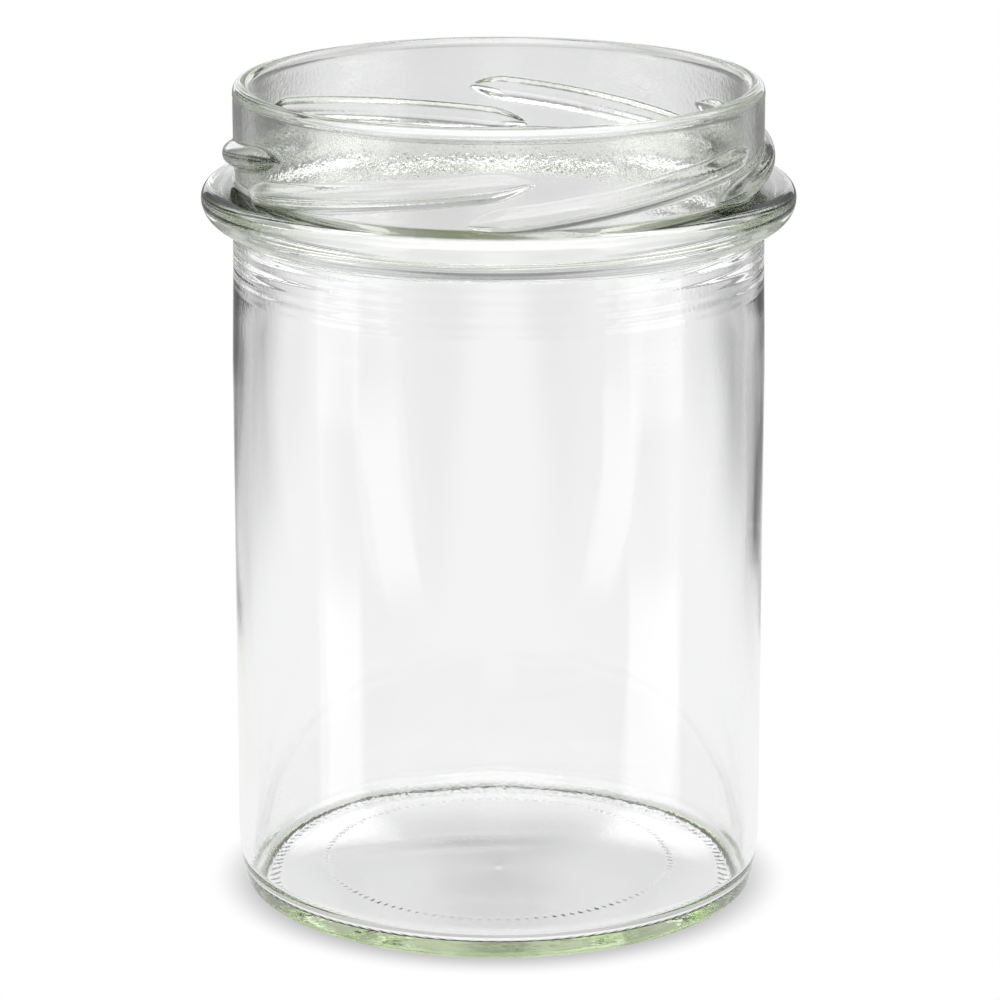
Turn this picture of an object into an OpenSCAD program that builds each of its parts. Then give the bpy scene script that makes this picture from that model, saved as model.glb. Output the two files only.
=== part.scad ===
// Straight-sided glass jar with a six-start twist-off finish: one moulded piece of glass.
// Millimetres, +Z up. The origin is the centre of the foot, on the plane that the jar rests on.

/* [Jar] */
// Height from the foot to the top of the lip
jar_h = 124; // [110:1:140]
// Outer diameter of the body
body_d = 79.9; // [79.4:0.1:81]
// Thickness of the body wall
wall = 2.3; // [1.9:0.1:2.8]

/* [Base] */
// Thickness of the glass at the centre of the base
base_t = 2.5; // [2:0.1:4]
// Height of the push-up at the centre, under the base
push_up = 3; // [2:0.1:4]
// Diameter inside the ring that the jar stands on
ring_inner_d = 65; // [62:0.5:68]
// Rounding where the base meets the inside of the wall
inner_heel_r = 3; // [2:0.5:6]

/* [Finish] */
// Outer diameter of the plain neck wall
neck_d = 78.9; // [78.5:0.1:79.3]
// Bore of the mouth
mouth_d = 73.6; // [72.6:0.1:74.2]
// Rounding of the lip's outer edge
lip_outer_r = 1.2; // [0.9:0.1:1.3]
// Rounding of the lip's inner edge
lip_inner_r = 1.1; // [0.8:0.1:1.2]

/* [Transfer bead] */
// Outer diameter of the bead
bead_d = 88.6; // [87.5:0.1:90]
// Rounding between the bead's top and its widest line
bead_top_r = 2.2; // [1.8:0.1:2.6]
// Rounding under the bead's widest line
bead_low_r = 3.8; // [3.4:0.1:4.2]
// Slope of the bead's top, in degrees
bead_slope = 9; // [5:1:12]
// Distance from the top of the lip down to the bead's widest line
bead_drop = 17; // [16.6:0.1:18]
// Blend between the underside of the bead and the body
bead_blend_r = 1.6; // [1:0.1:2.5]

/* [Lugs] */
// Number of lugs
lug_count = 6; // [4:1:6]
// Diameter over the lugs
lug_d = 82.1; // [81.6:0.1:82.6]
// Distance from the top of the lip down to the middle of a lug
lug_drop = 10.7; // [10.2:0.1:11]
// Arc of one lug at full height, in degrees
lug_arc = 57; // [50:1:57]
// Slope of a lug, in degrees
lug_slope = 7.1; // [6:0.1:8]
// Length of the point at each end of a lug
lug_point = 5.5; // [4:0.1:5.5]

/* [Hidden] */
$fn = 96;

body_r = body_d / 2;
neck_r = neck_d / 2;
mouth_r = mouth_d / 2;
cavity_r = body_r - wall;
bead_z = jar_h - bead_drop;
above = jar_h + 1;

// Heel: a long lead-in arc that turns in from the wall, then a tight corner to the foot.
heel_lead_r = 34;
heel_turn = 13;
heel_corner_r = 1.8;
heel_top = heel_corner_r + (heel_lead_r - heel_corner_r) * sin(heel_turn);
heel_join = heel_corner_r * (1 - sin(heel_turn));
foot_r = body_r - heel_lead_r + (heel_lead_r - heel_corner_r) * cos(heel_turn);

// The body draws in a little below the bead.
waist_r = body_r - 0.3;
waist_low = bead_z - 24.5;
waist_high = bead_z - 9.5;

// Centres of the bead's two roundings, and the line of its sloping top.
bead_top_x = bead_d / 2 - bead_top_r;
bead_low_x = bead_d / 2 - bead_low_r;
edge_x = bead_top_x + bead_top_r * sin(bead_slope);
edge_z = bead_z + bead_top_r * cos(bead_slope);
crown_x = neck_r - 1;
crown_z = edge_z + (edge_x - crown_x) * tan(bead_slope);

// Centre of the blend that touches the bead's underside and the waist.
blend_x = waist_r + bead_blend_r;
blend_reach = bead_low_r + bead_blend_r;
blend_z = bead_z - sqrt(blend_reach * blend_reach - (blend_x - bead_low_x) * (blend_x - bead_low_x));

// Inside: a shallow dome for the floor, and a round that touches both it and the wall.
floor_z = push_up + base_t;
dome_r = 190;
heel_x = cavity_r - inner_heel_r;
heel_reach = dome_r + inner_heel_r;
heel_z = floor_z - dome_r + sqrt(heel_reach * heel_reach - heel_x * heel_x);
touch_x = heel_x * dome_r / heel_reach;
mouth_low = bead_z - 3;
cavity_top = bead_z - 14;

// Under the base: a short bevel from the standing ring, then a shallow dome.
ring_inner_r = ring_inner_d / 2;
bevel = 0.8;
vault_x = ring_inner_r - bevel;
vault_rise = push_up - bevel;
vault_r = (vault_x * vault_x + vault_rise * vault_rise) / (2 * vault_rise);

// Lug section: a circle sunk in the neck wall, so that it stands out to the lug diameter.
lug_r = 2.05;
lug_x = lug_d / 2 - lug_r;
lug_z = jar_h - lug_drop;

// Half-widths of a lug at the start of its points and at their tips, and the sweep of its ring.
lug_full = lug_d / 2 * sin(lug_arc / 2);
lug_tip_angle = lug_arc / 2 + lug_point / lug_x * 180 / PI;
lug_tip = lug_d / 2 * sin(lug_tip_angle);
lug_sweep = 2 * lug_tip_angle + 6;

// Section of the solid jar, without its hollow.
module outer_section() {
    square([foot_r, heel_top]);
    translate([foot_r, heel_corner_r]) circle(heel_corner_r);
    intersection() {
        translate([body_r - heel_lead_r, heel_top]) circle(heel_lead_r, $fn = 360);
        translate([0, heel_join]) square([body_r, heel_top - heel_join]);
    }
    polygon([
        [0, heel_top], [body_r, heel_top], [body_r, waist_low],
        [waist_r, waist_high], [waist_r, bead_z], [0, bead_z]
    ]);
    polygon([[0, bead_z], [bead_top_x, bead_z], [edge_x, edge_z], [crown_x, crown_z], [0, crown_z]]);
    translate([bead_top_x, bead_z]) circle(bead_top_r);
    intersection() {
        translate([bead_low_x, bead_z]) circle(bead_low_r);
        translate([0, bead_z - bead_low_r - 1]) square([bead_d, bead_low_r + 1]);
    }
    difference() {
        polygon([[waist_r - 1, blend_z], [blend_x, blend_z], [bead_low_x, bead_z], [waist_r - 1, bead_z]]);
        translate([blend_x, blend_z]) circle(bead_blend_r);
    }
    translate([0, bead_z]) square([neck_r, jar_h - lip_outer_r - bead_z]);
    translate([0, bead_z]) square([neck_r - lip_outer_r, jar_h - bead_z]);
    translate([neck_r - lip_outer_r, jar_h - lip_outer_r]) circle(lip_outer_r);
}

// Section of the hollow, which runs out past the top of the lip.
module cavity_section() {
    difference() {
        polygon([
            [0, 0], [cavity_r, 0], [cavity_r, cavity_top],
            [mouth_r, mouth_low], [mouth_r, above], [0, above]
        ]);
        translate([0, floor_z - dome_r]) circle(dome_r, $fn = 720);
        difference() {
            polygon([[touch_x, 0], [cavity_r, 0], [cavity_r, heel_z], [heel_x, heel_z]]);
            translate([heel_x, heel_z]) circle(inner_heel_r);
        }
    }
}

// What the rounding takes off the lip's inner edge.
module lip_corner_section() {
    difference() {
        translate([mouth_r - 0.5, jar_h - lip_inner_r]) square([lip_inner_r + 0.5, lip_inner_r + 1]);
        translate([mouth_r + lip_inner_r, jar_h - lip_inner_r]) circle(lip_inner_r);
    }
}

// Section of the push-up under the base: a dome inside a cone that opens down to the ring.
module push_up_section() {
    intersection() {
        polygon([
            [0, -1], [ring_inner_r, -1], [ring_inner_r, 0],
            [ring_inner_r - push_up - 1, push_up + 1], [0, push_up + 1]
        ]);
        translate([0, push_up - vault_r]) circle(vault_r, $fn = 720);
    }
}

// One lug, centred on +X: an arc of a tilted ring, cut to a point at each end.
module lug() {
    rotate([lug_slope, 0, 0]) {
        intersection() {
            rotate_extrude(angle = lug_sweep, start = -lug_sweep / 2) translate([lug_x, 0]) circle(lug_r);
            rotate([90, 0, 90]) linear_extrude(lug_d) polygon([
                [-lug_tip, 0], [-lug_full, -lug_r], [lug_full, -lug_r],
                [lug_tip, 0], [lug_full, lug_r], [-lug_full, lug_r]
            ]);
        }
    }
}

module glass_jar() {
    color([0.86, 0.92, 0.88, 0.45])
        difference() {
            union() {
                rotate_extrude() outer_section();
                for (i = [0:lug_count - 1]) {
                    rotate([0, 0, i * 360 / lug_count]) translate([0, 0, lug_z]) lug();
                }
            }
            rotate_extrude() cavity_section();
            rotate_extrude() lip_corner_section();
            rotate_extrude() push_up_section();
        }
}

glass_jar();
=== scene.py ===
import math

import bpy
import numpy as np
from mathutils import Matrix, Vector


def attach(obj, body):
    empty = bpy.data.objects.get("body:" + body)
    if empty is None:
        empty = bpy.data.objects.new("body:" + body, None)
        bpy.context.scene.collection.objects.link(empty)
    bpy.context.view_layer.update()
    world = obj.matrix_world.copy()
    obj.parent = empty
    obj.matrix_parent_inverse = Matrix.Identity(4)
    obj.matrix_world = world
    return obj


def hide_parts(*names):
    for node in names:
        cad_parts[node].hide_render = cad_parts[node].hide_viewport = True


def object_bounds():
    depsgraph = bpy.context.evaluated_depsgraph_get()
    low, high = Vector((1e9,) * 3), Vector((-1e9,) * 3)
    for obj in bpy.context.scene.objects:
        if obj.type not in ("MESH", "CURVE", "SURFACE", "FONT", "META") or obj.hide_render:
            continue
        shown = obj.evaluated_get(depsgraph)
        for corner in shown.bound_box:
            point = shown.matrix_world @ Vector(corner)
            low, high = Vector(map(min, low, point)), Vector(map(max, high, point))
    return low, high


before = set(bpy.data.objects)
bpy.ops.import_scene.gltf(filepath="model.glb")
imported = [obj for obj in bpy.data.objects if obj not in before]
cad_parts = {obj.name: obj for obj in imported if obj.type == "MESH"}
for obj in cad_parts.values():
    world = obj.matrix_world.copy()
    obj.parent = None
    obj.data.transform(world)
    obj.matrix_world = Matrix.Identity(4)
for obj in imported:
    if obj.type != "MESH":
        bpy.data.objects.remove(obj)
cad_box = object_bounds()

# ---------------------------------------------------------------- sizes of the jar, in millimetres
MM = 0.001
HEIGHT = cad_box[1].z / MM

# Outside radii of the body, of the waist under the bead and of the plain neck.
BODY_R, WAIST_R, NECK_R = 39.95, 39.65, 39.45
# Radii of the hollow and of the mouth's bore, and the heights between which one runs into the other.
WALL = 2.3
CAVITY_R, MOUTH_R = BODY_R - WALL, 36.8
FLARE_TOP, FLARE_LOW = 104.0, 93.0
# The lip's outer and inner roundings.
LIP_OUT, LIP_IN = 1.2, 1.1

# The transfer bead: its radius, the height of its widest line, its roundings and its sloping top.
BEAD_OUT, BEAD_Z = cad_box[1].x / MM, 107.0
BEAD_TOP_R, BEAD_LOW_R, BEAD_SLOPE = 2.2, 3.8, math.radians(9)
# The blend from the bead to the waist, and the fillet from its top to the neck.
BLEND_R, ROOT_R = 1.6, 0.35
WAIST_LOW, WAIST_HIGH = BEAD_Z - 24.5, BEAD_Z - 9.5

# The heel: a tight corner at the foot, then a long arc up to the wall.
FOOT_R, HEEL_R, LEAD_R, HEEL_TURN = 37.32, 1.8, 34.0, math.radians(13)
# The base: the inner edge of the standing ring, the push-up, and the shallow dome of the floor.
RING_IN, PUSH_UP, BASE_T = 33.2, 3.0, 2.5
DOME_R, INNER_HEEL = 190.0, 3.0
FLOOR_Z = PUSH_UP + BASE_T

# Lugs: middle height, how far they stand out, half width, angles at full height and at the tip, rise.
LUGS, LUG_Z, LUG_OUT, LUG_HALF = 6, HEIGHT - 10.7, 1.6, 2.0
LUG_FULL, LUG_TIP = math.radians(27.5), math.radians(36.6)
LUG_RISE = 41.0 * math.sin(math.radians(7.1))

# Knurls on the standing ring: how many, their radius, length and depth. Then the ring of small dots.
KNURLS, KNURL_R, KNURL_LONG, KNURL_DEEP = 120, 34.3, 1.5, 0.16
DOTS_R, DOTS_DEEP = 26.3, 0.09
RING_FLAT, RING_FADE = 2.3, 1.6

# Points round the jar, and how many times as many where it is knurled.
COLS = 360
FINE = 2


# ---------------------------------------------------------------- soft steps and pieces of outline
def smooth(x, lo, hi):
    """Zero below lo, one above hi, and a smooth rise between."""
    t = np.clip((x - lo) / (hi - lo), 0, 1)
    return t * t * (3 - 2 * t)


def band(x, lo, hi, soft):
    """One between lo and hi, with soft edges."""
    return smooth(x, lo - soft, lo) * (1 - smooth(x, hi, hi + soft))


def arc(cx, cz, r, a0, a1, n):
    """Points of a circular arc in the section, from a0 to a1 in radians, without the last one."""
    steps = [a0 + (a1 - a0) * i / n for i in range(n)]
    return [(cx + r * math.cos(a), cz + r * math.sin(a)) for a in steps]


def line(p, q, n):
    """Points of a straight run in the section, without the last one."""
    return [(p[0] + (q[0] - p[0]) * i / n, p[1] + (q[1] - p[1]) * i / n) for i in range(n)]


# ---------------------------------------------------------------- the jar's section, as (r, z) points
def underside():
    """From the push-up, past the knurled ring, to the start of the heel."""
    rise = PUSH_UP - KNURL_DEEP
    vault_r = (RING_IN ** 2 + rise ** 2) / (2 * rise)
    near_dots = [DOTS_R + d for d in (-0.7, -0.4, -0.2, 0, 0.2, 0.4, 0.7)]
    radii = [2.5, 6, 10, 14, 18, 21, 24] + near_dots + [29, 31, 32.4]
    pts = [(r, PUSH_UP - vault_r + math.sqrt(vault_r ** 2 - r * r)) for r in radii]
    pts += line((RING_IN, KNURL_DEEP), (RING_IN + RING_FLAT, KNURL_DEEP), 12)
    for k in range(5):
        t = k / 5
        pts.append((RING_IN + RING_FLAT + RING_FADE * t, KNURL_DEEP * (0.5 + 0.5 * math.cos(math.pi * t))))
    return pts + line((RING_IN + RING_FLAT + RING_FADE, 0.0), (FOOT_R, 0.0), 2)


def heel_and_wall():
    """From the foot round the heel, and up the wall to the waist."""
    heel_top = HEEL_R + (LEAD_R - HEEL_R) * math.sin(HEEL_TURN)
    pts = arc(FOOT_R, HEEL_R, HEEL_R, -math.pi / 2, -HEEL_TURN, 9)
    pts += arc(BODY_R - LEAD_R, heel_top, LEAD_R, -HEEL_TURN, 0, 8)
    pts += line((BODY_R, heel_top), (BODY_R, WAIST_LOW), 14)
    return pts + line((BODY_R, WAIST_LOW), (WAIST_R, WAIST_HIGH), 6)


def bead():
    """From the waist, round the transfer bead, and in along its sloping top to the neck."""
    low_x, top_x = BEAD_OUT - BEAD_LOW_R, BEAD_OUT - BEAD_TOP_R
    blend_x = WAIST_R + BLEND_R
    blend_z = BEAD_Z - math.sqrt((BEAD_LOW_R + BLEND_R) ** 2 - (blend_x - low_x) ** 2)
    touch = math.atan2(blend_z - BEAD_Z, blend_x - low_x)
    pts = line((WAIST_R, WAIST_HIGH), (WAIST_R, blend_z), 4)
    pts += arc(blend_x, blend_z, BLEND_R, math.pi, math.pi + touch, 7)
    pts += arc(low_x, BEAD_Z, BEAD_LOW_R, touch, 0, 14)
    pts += arc(top_x, BEAD_Z, BEAD_TOP_R, 0, math.pi / 2 - BEAD_SLOPE, 12)
    edge = (top_x + BEAD_TOP_R * math.sin(BEAD_SLOPE), BEAD_Z + BEAD_TOP_R * math.cos(BEAD_SLOPE))
    crown = edge[1] + (edge[0] - NECK_R) * math.tan(BEAD_SLOPE)
    cut = ROOT_R * math.tan((math.pi / 2 - BEAD_SLOPE) / 2)
    root = (NECK_R + cut * math.cos(BEAD_SLOPE), crown - cut * math.sin(BEAD_SLOPE))
    pts += line(edge, root, 6)
    pts += arc(NECK_R + ROOT_R, crown + cut, ROOT_R, 1.5 * math.pi - BEAD_SLOPE, math.pi, 4)
    return pts, crown + cut


def neck_and_lip(low):
    """From the fillet at the neck's root up to the top of the lip, with the faint ridge under the lip."""
    lug_top = LUG_Z + 5.8
    pts = line((NECK_R, low), (NECK_R, lug_top), 46)
    pts += line((NECK_R, lug_top), (NECK_R, HEIGHT - LIP_OUT - 0.55), 8)
    for k, ridge in enumerate((0, 0.05, 0.05, 0)):
        pts.append((NECK_R + ridge, HEIGHT - LIP_OUT - 0.5 + 0.12 * k))
    return pts + arc(NECK_R - LIP_OUT, HEIGHT - LIP_OUT, LIP_OUT, 0, math.pi / 2, 9)


def inside():
    """From the top of the lip down the bore, the flare and the wall, and round the inner heel."""
    pts = arc(MOUTH_R + LIP_IN, HEIGHT - LIP_IN, LIP_IN, math.pi / 2, math.pi, 9)
    pts += line((MOUTH_R, HEIGHT - LIP_IN), (MOUTH_R, FLARE_TOP), 10)
    for k in range(44):
        t = k / 44
        flare = (CAVITY_R - MOUTH_R) * t * t * (3 - 2 * t)
        pts.append((MOUTH_R + flare, FLARE_TOP + (FLARE_LOW - FLARE_TOP) * t))
    heel_x = CAVITY_R - INNER_HEEL
    reach = math.sqrt((DOME_R + INNER_HEEL) ** 2 - heel_x * heel_x)
    heel_z = FLOOR_Z - DOME_R + reach
    pts += line((CAVITY_R, FLARE_LOW), (CAVITY_R, heel_z), 24)
    return pts + arc(heel_x, heel_z, INNER_HEEL, 0, math.atan2(-reach, -heel_x), 14)


def floor_dome():
    """In along the floor of the jar, almost to its middle."""
    return [(r, FLOOR_Z - DOME_R + math.sqrt(DOME_R ** 2 - r * r)) for r in range(33, 1, -1)]


def section():
    """The closed section, from the middle of the underside to the middle of the floor, as (r, z, part)."""
    bead_points, neck_low = bead()
    outside = heel_and_wall() + bead_points + neck_and_lip(neck_low)
    parts = (("under", underside()), ("outside", outside), ("inside", inside()), ("floor", floor_dome()))
    return [(r, z, part) for part, pts in parts for r, z in pts]


# ---------------------------------------------------------------- what isn't the same all the way round
def lug_height(angle, z):
    """How far the lugs stand out of the neck wall at each angle and height."""
    out = np.zeros_like(z)
    for k in range(LUGS):
        a = (angle - k * 2 * math.pi / LUGS + math.pi) % (2 * math.pi) - math.pi
        centre = LUG_Z + LUG_RISE * np.sin(np.clip(a, -1, 1))
        t = np.clip((LUG_TIP - np.abs(a)) / (LUG_TIP - LUG_FULL), 0, 1)
        half = LUG_HALF * (0.08 + 0.92 * np.sin(t * math.pi / 2) ** 0.9)
        high = LUG_OUT * np.sin(t * math.pi / 2) ** 0.8
        u = (z - centre) / half
        h = high * (1 - np.abs(u) ** 2.4)
        h = np.where(np.abs(a) < LUG_TIP, h, -1.0)
        # A soft corner, 0.1 mm wide, where the lug meets the wall.
        h = 0.5 * (h + np.sqrt(h * h + 0.10 ** 2)) - 0.0025 / (0.1 + np.abs(h))
        out = np.maximum(out, np.where(h > 0, h, 0))
    return out


def knurl_drop(angle, r):
    """How far the knurls hang below the ring that they stand on, and the small dots below the push-up."""
    wave = np.cos(angle * KNURLS)
    across = np.clip(wave * 0.75 + 0.25, 0, 1) ** 0.7
    knurls = KNURL_DEEP * across * np.sqrt(np.clip(1 - ((r - KNURL_R) / (KNURL_LONG / 2)) ** 2, 0, 1))
    dots = DOTS_DEEP * np.clip(wave, 0, 1) * np.clip(1 - ((r - DOTS_R) / 0.45) ** 2, 0, 1)
    worn = 0.62 + 0.25 * np.sin(5 * angle + 0.7) + 0.13 * np.sin(23 * angle) * np.sin(31 * angle + 1)
    return knurls + dots * worn


def wall_waves(angle, z):
    """The slow ripple of the inner wall, which the mould doesn't touch, and the waves in its flare."""
    low = 0.07 * np.sin(3 * angle + 0.045 * z + 0.6) + 0.05 * np.sin(5 * angle - 0.07 * z + 2.1)
    fine = 0.025 * np.sin(9 * angle + 0.11 * z + 4.0) + 0.012 * np.sin(14 * angle - 0.21 * z)
    keep = smooth(z, 6, 20) * (1 - smooth(z, FLARE_LOW - 6, FLARE_TOP))
    settle = 0.06 * math.sin(z * 2.9) * math.sin(z * 0.83 + 0.5)
    settle = settle * band(z, FLARE_LOW + 1, FLARE_TOP - 1, 2.5)
    return (low + fine) * keep + settle * (1 + 0.4 * np.sin(2 * angle + 1))


def floor_waves(x, y):
    """Shallow folds in the top of the base, where the gob cooled."""
    fold = np.sin(0.55 * y + 0.9 * np.sin(0.16 * x + 0.4) + 0.5)
    ridge = np.exp(-((y - 2.0 - 0.12 * x) / 2.2) ** 2) * np.exp(-((x + 5) / 12) ** 2)
    pool = np.sin(0.21 * x + 0.3 * y + 1.0) * np.sin(0.17 * x - 0.26 * y)
    return 0.024 * fold * np.exp(-(x * x + y * y) / 420) + 0.13 * ridge + 0.03 * pool


def painted_shade_amount(angle, r, z):
    """Painted shade: a dark bottle green on the sloping top of the bead and at the foot of the heel, for the
    dark bands that the glass shows there.
    """
    on_bead = float(z > BEAD_Z) * band(r, NECK_R + 0.15, BEAD_OUT - 1.7, 0.25)
    on_heel = float(r > 36.5) * 0.6 * (1 - smooth(z, 0.4, 1.6))
    return (on_bead + on_heel) * (0.9 + 0.1 * np.sin(7 * angle + 1))


def ring(r0, z0, part):
    """One ring of the mesh: its points, and how much painted dark green shade each of them gets."""
    on_knurls = RING_IN <= r0 < RING_IN + RING_FLAT - 0.1
    knurled = part == "under" and (on_knurls or abs(r0 - DOTS_R) < 0.8)
    n = COLS * (FINE if knurled else 1)
    a = np.arange(n) * 2 * math.pi / n
    r = np.full(n, float(r0))
    z = np.full(n, float(z0))
    painted_shade = np.zeros(n)
    if knurled:
        z = z - knurl_drop(a, r)
    if part == "outside" and BEAD_Z + 1.8 < z0 < HEIGHT - LIP_OUT - 0.6:
        r = np.maximum(r, NECK_R + lug_height(a, z))
    if part == "inside":
        r = r + wall_waves(a, z0)
    if part == "floor":
        z = z + floor_waves(r * np.cos(a), r * np.sin(a)) * (1 - smooth(r0, 27, 33))
    # The painted dark green shade, on the underside and the outside.
    if part in ("under", "outside"):
        painted_shade = painted_shade_amount(a, r0, z0)
    return np.stack([r * np.cos(a), r * np.sin(a), z], -1), painted_shade


def stitch(s0, n0, s1, n1):
    """The faces between two rings that start at s0 and s1, where one may have twice the other's points."""
    faces = []
    for j in range(min(n0, n1)):
        if n0 == n1:
            k = (j + 1) % n0
            faces.append((s0 + j, s0 + k, s1 + k, s1 + j))
        elif n0 < n1:
            k = (j + 1) % n0
            faces.append((s0 + j, s1 + 2 * j + 1, s1 + 2 * j))
            faces.append((s0 + j, s0 + k, s1 + 2 * j + 1))
            faces.append((s0 + k, s1 + 2 * k, s1 + 2 * j + 1))
        else:
            k = (j + 1) % n1
            faces.append((s1 + j, s0 + 2 * j, s0 + 2 * j + 1))
            faces.append((s1 + j, s0 + 2 * j + 1, s1 + k))
            faces.append((s1 + k, s0 + 2 * j + 1, s0 + 2 * k))
    return faces


def jar_mesh():
    """The jar as one closed mesh: rings from the middle of the underside to the middle of the floor."""
    rings = [ring(*point) for point in section()]
    count = [len(painted_shade) for _, painted_shade in rings]
    start = [sum(count[:i]) for i in range(len(count))]
    poles = [[0, 0, PUSH_UP], [0, 0, FLOOR_Z]]
    points = np.vstack([p for p, _ in rings] + [poles])
    low, high = len(points) - 2, len(points) - 1
    faces = []
    for i in range(len(rings) - 1):
        faces += stitch(start[i], count[i], start[i + 1], count[i + 1])
    for j in range(COLS):
        k = (j + 1) % COLS
        faces.append((low, k, j))
        faces.append((high, start[-1] + j, start[-1] + k))
    mesh = bpy.data.meshes.new("jar")
    mesh.from_pydata((points * MM).tolist(), [], faces)
    mesh.polygons.foreach_set("use_smooth", [True] * len(mesh.polygons))
    mesh.update()
    painted_tint = mesh.attributes.new("painted_shade", "FLOAT", "POINT")
    painted_tint.data.foreach_set("value", np.concatenate([t for _, t in rings] + [[0.0, 0.0]]).astype(np.float32))
    return mesh


# ---------------------------------------------------------------- glass
def noise(nt, where, scale, detail):
    """A noise texture's grey value at each place."""
    node = nt.nodes.new("ShaderNodeTexNoise")
    node.inputs["Scale"].default_value = scale
    node.inputs["Detail"].default_value = detail
    nt.links.new(where, node.inputs["Vector"])
    return node.outputs["Fac"]


def ramp(nt, value, lo, hi, to_lo=0.0, to_hi=1.0):
    """A smooth change from to_lo to to_hi as the value goes from lo to hi."""
    node = nt.nodes.new("ShaderNodeMapRange")
    node.interpolation_type = "SMOOTHSTEP"
    node.inputs["From Min"].default_value = lo
    node.inputs["From Max"].default_value = hi
    node.inputs["To Min"].default_value = to_lo
    node.inputs["To Max"].default_value = to_hi
    nt.links.new(value, node.inputs["Value"])
    return node.outputs["Result"]


def combine(nt, operation, one, two):
    """Two values put together by a Math node."""
    node = nt.nodes.new("ShaderNodeMath")
    node.operation = operation
    nt.links.new(one, node.inputs[0])
    nt.links.new(two, node.inputs[1])
    return node.outputs[0]


def peel_strength(nt, where):
    """How strong the orange peel is: on the neck, in patches just under the bead, and faint elsewhere."""
    split = nt.nodes.new("ShaderNodeSeparateXYZ")
    nt.links.new(where, split.inputs[0])
    height = split.outputs["Z"]
    above_bead = ramp(nt, height, (BEAD_Z + 2) * MM, (BEAD_Z + 5) * MM)
    below_lip = ramp(nt, height, (HEIGHT - 1.0) * MM, (HEIGHT - 3.0) * MM)
    neck = combine(nt, "MULTIPLY", above_bead, below_lip)
    spots = ramp(nt, noise(nt, where, 55, 1), 0.50, 0.64, to_hi=0.55)
    patches = combine(nt, "MULTIPLY", spots, ramp(nt, height, 80 * MM, 92 * MM))
    scaled = nt.nodes.new("ShaderNodeMath")
    scaled.operation = "MULTIPLY_ADD"
    scaled.inputs[1].default_value = 0.15
    scaled.inputs[2].default_value = 0.03
    nt.links.new(combine(nt, "MAXIMUM", neck, patches), scaled.inputs[0])
    return scaled.outputs[0]


def glass():
    """Clear soda-lime glass: green inside, a painted dark bottle-green shade on the bead's top and the
    heel's foot, and orange peel from the mould.
    """
    mat = bpy.data.materials.new("jar_glass")
    mat.use_nodes = True
    nt = mat.node_tree
    shader = nt.nodes["Principled BSDF"]
    shader.inputs["Base Color"].default_value = (1, 1, 1, 1)
    shader.inputs["Roughness"].default_value = 0.0
    shader.inputs["IOR"].default_value = 1.52
    shader.inputs["Transmission Weight"].default_value = 1.0
    shade_amount = nt.nodes.new("ShaderNodeAttribute")
    shade_amount.attribute_name = "painted_shade"
    # Painted shade: the base colour goes from white to a dark bottle green as the mesh's painted shade
    # attribute rises.
    painted_tint = nt.nodes.new("ShaderNodeMix")
    painted_tint.data_type = "RGBA"
    painted_tint.inputs[6].default_value = (1, 1, 1, 1)
    painted_tint.inputs[7].default_value = (0.070, 0.095, 0.035, 1)
    nt.links.new(shade_amount.outputs["Fac"], painted_tint.inputs[0])
    nt.links.new(painted_tint.outputs[2], shader.inputs["Base Color"])
    where = nt.nodes.new("ShaderNodeTexCoord").outputs["Object"]
    bump = nt.nodes.new("ShaderNodeBump")
    bump.inputs["Distance"].default_value = 0.00012
    nt.links.new(peel_strength(nt, where), bump.inputs["Strength"])
    nt.links.new(noise(nt, where, 1500, 2), bump.inputs["Height"])
    nt.links.new(bump.outputs["Normal"], shader.inputs["Normal"])
    inner = nt.nodes.new("ShaderNodeVolumeAbsorption")
    inner.inputs["Color"].default_value = (0.70, 0.84, 0.47, 1)
    inner.inputs["Density"].default_value = 15.0
    nt.links.new(inner.outputs[0], nt.nodes["Material Output"].inputs["Volume"])
    return mat


jar = bpy.data.objects.new("jar", jar_mesh())
bpy.context.scene.collection.objects.link(jar)
jar.data.materials.append(glass())
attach(jar, "root")
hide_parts("glass_jar")


# ---------------------------------------------------------------- stage, in metres and degrees
FLOOR, FLOOR_LEVEL = 6.0, -0.0002
DOME, LIGHT_LEVEL = 3.0, -0.0003
LIGHT_TINT = (0.995, 0.985, 1.02)

# The soft light from all round, and how much less the dark cards give.
SOFT, CARDS = 0.93, 0.62
# The two lit strips on the floor, as the spans of the wall that mirror them, in millimetres.
STRIP_LEFT, STRIP_RIGHT, STRIP_SOFT, STRIP_LIGHT = (-26.4, -21.0), (19.6, 26.8), 0.7, 1.1
FAR_CARDS, FAR_LIGHT = (48, 86, 2), 1.3
# Soft boxes on the dome: strength, span across with its soft edge, span of elevation with its soft edge.
SIDE_BOXES = 1.5, (12, 50, 5), (30, 58, 5)
REAR_BOXES = 0.35, (6, 40, 4), (10, 38, 6)
FRONT_BOX = 3.2, (-1, 34, 5), (34, 62, 4)
OVERHEAD, OVERHEAD_LIGHT = (66, 90, 6), 2.6
REAR_PANELS, REAR_PANEL_LIGHT = (1.0, (6.5, 20, 1.5), (1, 15, 4)), 1.5
UPPER_LIGHT = 0.26


def emitter(name, colour):
    """A material that only glows."""
    mat = bpy.data.materials.new(name)
    mat.use_nodes = True
    nt = mat.node_tree
    nt.nodes.clear()
    glow = nt.nodes.new("ShaderNodeEmission")
    glow.inputs["Color"].default_value = (*colour, 1)
    glow.inputs["Strength"].default_value = 1.0
    out = nt.nodes.new("ShaderNodeOutputMaterial")
    nt.links.new(glow.outputs[0], out.inputs["Surface"])
    return mat


def from_front(az):
    """Degrees between an azimuth, which starts at the back, and the front."""
    return np.abs((np.degrees(az) + 360) % 360 - 180)


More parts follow.
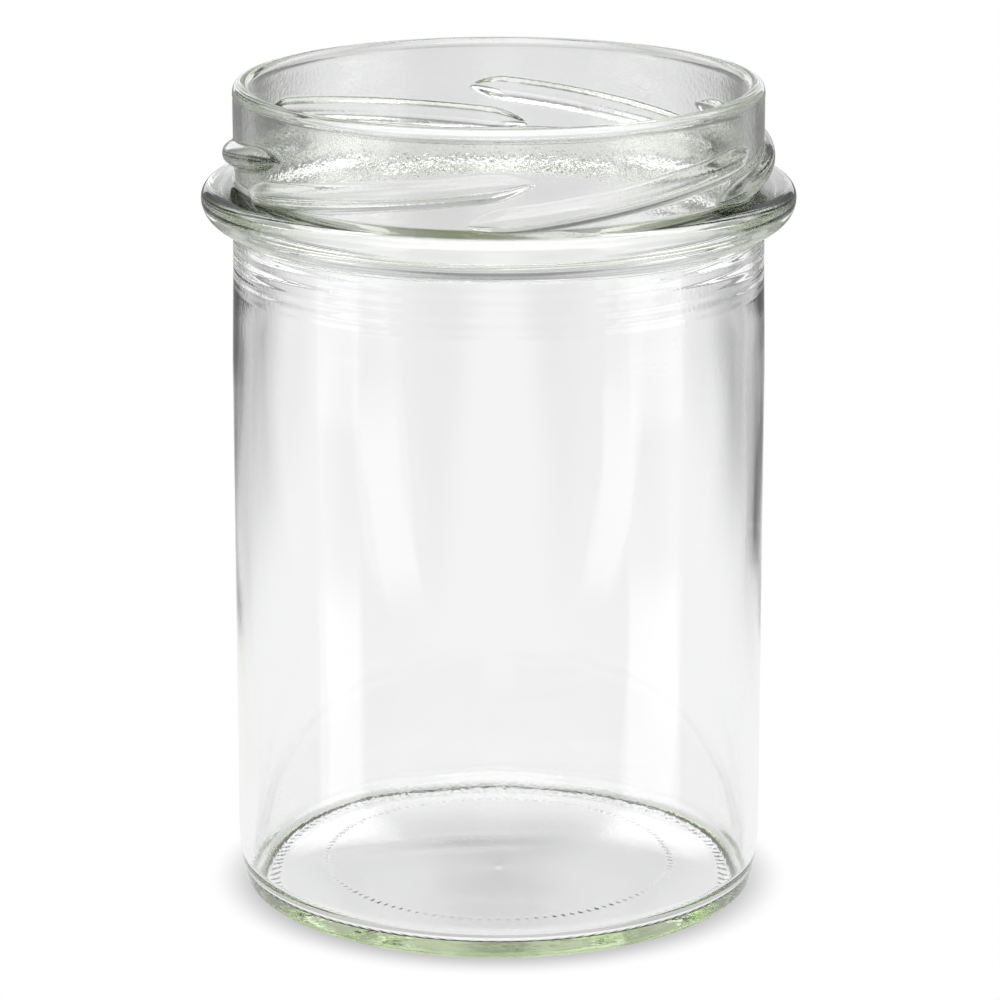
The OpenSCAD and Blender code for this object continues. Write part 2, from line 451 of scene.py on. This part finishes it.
def clear_way(az, r):
    """Where the dark cards lie: zero on the four ways straight out, about half on the diagonals."""
    fold = np.abs((np.degrees(az) + 45) % 90 - 45)
    side = r * np.sin(np.radians(fold))
    lo = 0.045 + 0.03 * r
    slant = r * np.sin(np.radians(45 - fold))
    deep = smooth(r, 0.05, 0.28)
    return deep * smooth(side, lo, lo + 0.09) * (1 - 0.5 * (1 - smooth(slant, lo, lo + 0.05)))


def wall_side(az, r):
    """How far from the middle of its front, in millimetres, the wall mirrors each place on the floor."""
    x, y = r / MM * np.sin(az), r / MM * np.cos(az)
    b = np.zeros_like(x)
    for _ in range(40):
        turn = np.arctan2(x - b, -(y + np.sqrt(BODY_R ** 2 - b * b)))
        b = 0.5 * (b + BODY_R * np.clip(np.sin(turn / 2), -0.95, 0.95))
    return b


def contact(r):
    """The faint shadow round the foot, as the glass sees it."""
    return 1 - 0.14 * smooth(r, 0.0365, 0.0374) * (1 - smooth(r, 0.0376, 0.0402))


def floor_light(az, r):
    """Light from the floor: two strips beside the jar, a shade under its base, and light cards far off."""
    side = wall_side(az, r)
    strips = band(side, *STRIP_LEFT, STRIP_SOFT) + band(side, *STRIP_RIGHT, STRIP_SOFT)
    strips = strips * (1 - 0.75 * band(r, 0.25, 0.33, 0.05)) * smooth(r, 0.07, 0.11) * (from_front(az) < 115)
    far = band(from_front(az), *FAR_CARDS) * smooth(r, 0.50, 0.60)
    base = 1 - 0.16 * (1 - smooth(r, 0.024, 0.034)) - 0.05 * np.cos(2 * az) * (1 - smooth(r, 0.01, 0.034))
    return (SOFT - CARDS * clear_way(az, r) + STRIP_LIGHT * strips + FAR_LIGHT * far) * base * contact(r)


def soft_box(across, el, box):
    """The light of one soft box at each place on the dome."""
    strength, width, height = box
    return strength * band(across, *width) * band(el, *height)


def dome_light(az, el):
    """Light from the dome: the cards near the floor, and the soft boxes above them."""
    low = SOFT - CARDS * clear_way(az, np.full_like(az, 0.8))
    front = from_front(az)
    back = 180 - front
    high = UPPER_LIGHT + OVERHEAD_LIGHT * band(el, *OVERHEAD)
    high = high + soft_box(np.abs(front - 90), el, SIDE_BOXES)
    high = high + soft_box(back, el, REAR_BOXES) + soft_box(front, el, FRONT_BOX)
    t = smooth(el, 8, 24)
    panels = soft_box(back, el, REAR_PANELS)
    return (low * (1 - t) + high * t) * (1 - panels) + REAR_PANEL_LIGHT * panels


def light_sheet(name, points, values, rows, cols):
    """A glowing surface, closed round the jar, that the camera doesn't see but the glass does."""
    faces = []
    for i in range(rows - 1):
        for j in range(cols):
            k = (j + 1) % cols
            faces.append((i * cols + j, i * cols + k, (i + 1) * cols + k, (i + 1) * cols + j))
    mesh = bpy.data.meshes.new(name)
    mesh.from_pydata(points.reshape(-1, 3).tolist(), [], faces)
    glow = mesh.attributes.new("glow", "FLOAT", "POINT")
    glow.data.foreach_set("value", values.ravel().astype(np.float32))
    mat = emitter(name, LIGHT_TINT)
    nt = mat.node_tree
    strength = nt.nodes.new("ShaderNodeAttribute")
    strength.attribute_name = "glow"
    nt.links.new(strength.outputs["Fac"], nt.nodes["Emission"].inputs["Strength"])
    mesh.materials.append(mat)
    sheet = bpy.data.objects.new(name, mesh)
    bpy.context.scene.collection.objects.link(sheet)
    sheet.visible_camera = False
    sheet.visible_shadow = False


def studio():
    """The floor and the dome that the glass sees: soft light from all round, with dark cards in it."""
    cols = 720
    az = (np.arange(cols) * 2 * math.pi / cols)[None, :]
    near = [0.0006, 0.01, 0.02, 0.026, 0.03, 0.034]
    r = np.concatenate([near, np.geomspace(0.036, DOME, 140)])[:, None] + 0 * az
    az_r = az + 0 * r
    points = np.stack([r * np.sin(az_r), r * np.cos(az_r), np.full_like(r, LIGHT_LEVEL)], -1)
    light_sheet("floor_light", points, floor_light(az_r, r), len(r), cols)
    el = np.concatenate([np.linspace(-0.01, 40, 160), np.linspace(40.5, 89.9, 90)])[:, None] + 0 * az
    az_e = az + 0 * el
    e = np.radians(el)
    points = DOME * np.stack([np.cos(e) * np.sin(az_e), np.cos(e) * np.cos(az_e), np.sin(e)], -1)
    light_sheet("dome_light", points, dome_light(az_e, el), len(el), cols)


def floor_material():
    """White, with the soft shadow round the jar's foot, and clear from below to show the underside."""
    mat = emitter("floor", (1, 1, 1))
    nt = mat.node_tree
    glow = nt.nodes["Emission"]
    place = nt.nodes.new("ShaderNodeNewGeometry")
    length = nt.nodes.new("ShaderNodeVectorMath")
    length.operation = "LENGTH"
    nt.links.new(place.outputs["Position"], length.inputs[0])
    shade = ramp(nt, length.outputs["Value"], 34.5 * MM, 45.0 * MM, to_lo=0.46)
    nt.links.new(shade, glow.inputs["Color"])
    clear = nt.nodes.new("ShaderNodeBsdfTransparent")
    either = nt.nodes.new("ShaderNodeMixShader")
    nt.links.new(place.outputs["Backfacing"], either.inputs[0])
    nt.links.new(glow.outputs[0], either.inputs[1])
    nt.links.new(clear.outputs[0], either.inputs[2])
    nt.links.new(either.outputs[0], nt.nodes["Material Output"].inputs["Surface"])
    return mat


def white_floor():
    """The floor that the camera sees. The glass doesn't see it, but the light sheet under it."""
    corners = [(x * FLOOR, y * FLOOR, FLOOR_LEVEL) for x, y in ((-1, -1), (1, -1), (1, 1), (-1, 1))]
    mesh = bpy.data.meshes.new("floor")
    mesh.from_pydata(corners, [], [(0, 1, 2, 3)])
    mesh.materials.append(floor_material())
    floor = bpy.data.objects.new("floor", mesh)
    bpy.context.scene.collection.objects.link(floor)
    floor.visible_glossy = False
    floor.visible_transmission = False
    floor.visible_diffuse = False


def white_world():
    """A white background, with enough bounces for light to pass through many walls of glass."""
    world = bpy.data.worlds.new("studio")
    world.use_nodes = True
    background = world.node_tree.nodes["Background"]
    background.inputs["Color"].default_value = (1, 1, 1, 1)
    background.inputs["Strength"].default_value = 1.0
    scene = bpy.context.scene
    scene.world = world
    scene.view_settings.view_transform = "Standard"
    scene.cycles.max_bounces = 24
    scene.cycles.transmission_bounces = 24
    scene.cycles.glossy_bounces = 16


def add_camera():
    """The camera at the front, 0.7 m off and looking 15 degrees down."""
    lens = bpy.data.cameras.new("camera")
    lens.lens = 172.35
    lens.sensor_width = 36
    lens.clip_start, lens.clip_end = 0.01, 50
    camera = bpy.data.objects.new("camera", lens)
    bpy.context.scene.collection.objects.link(camera)
    camera.location = (0.00019, -0.700, 0.25086)
    camera.rotation_mode = "XYZ"
    camera.rotation_euler = (math.radians(74.72), 0, 0)
    bpy.context.scene.camera = camera


white_floor()
studio()
white_world()
add_camera()
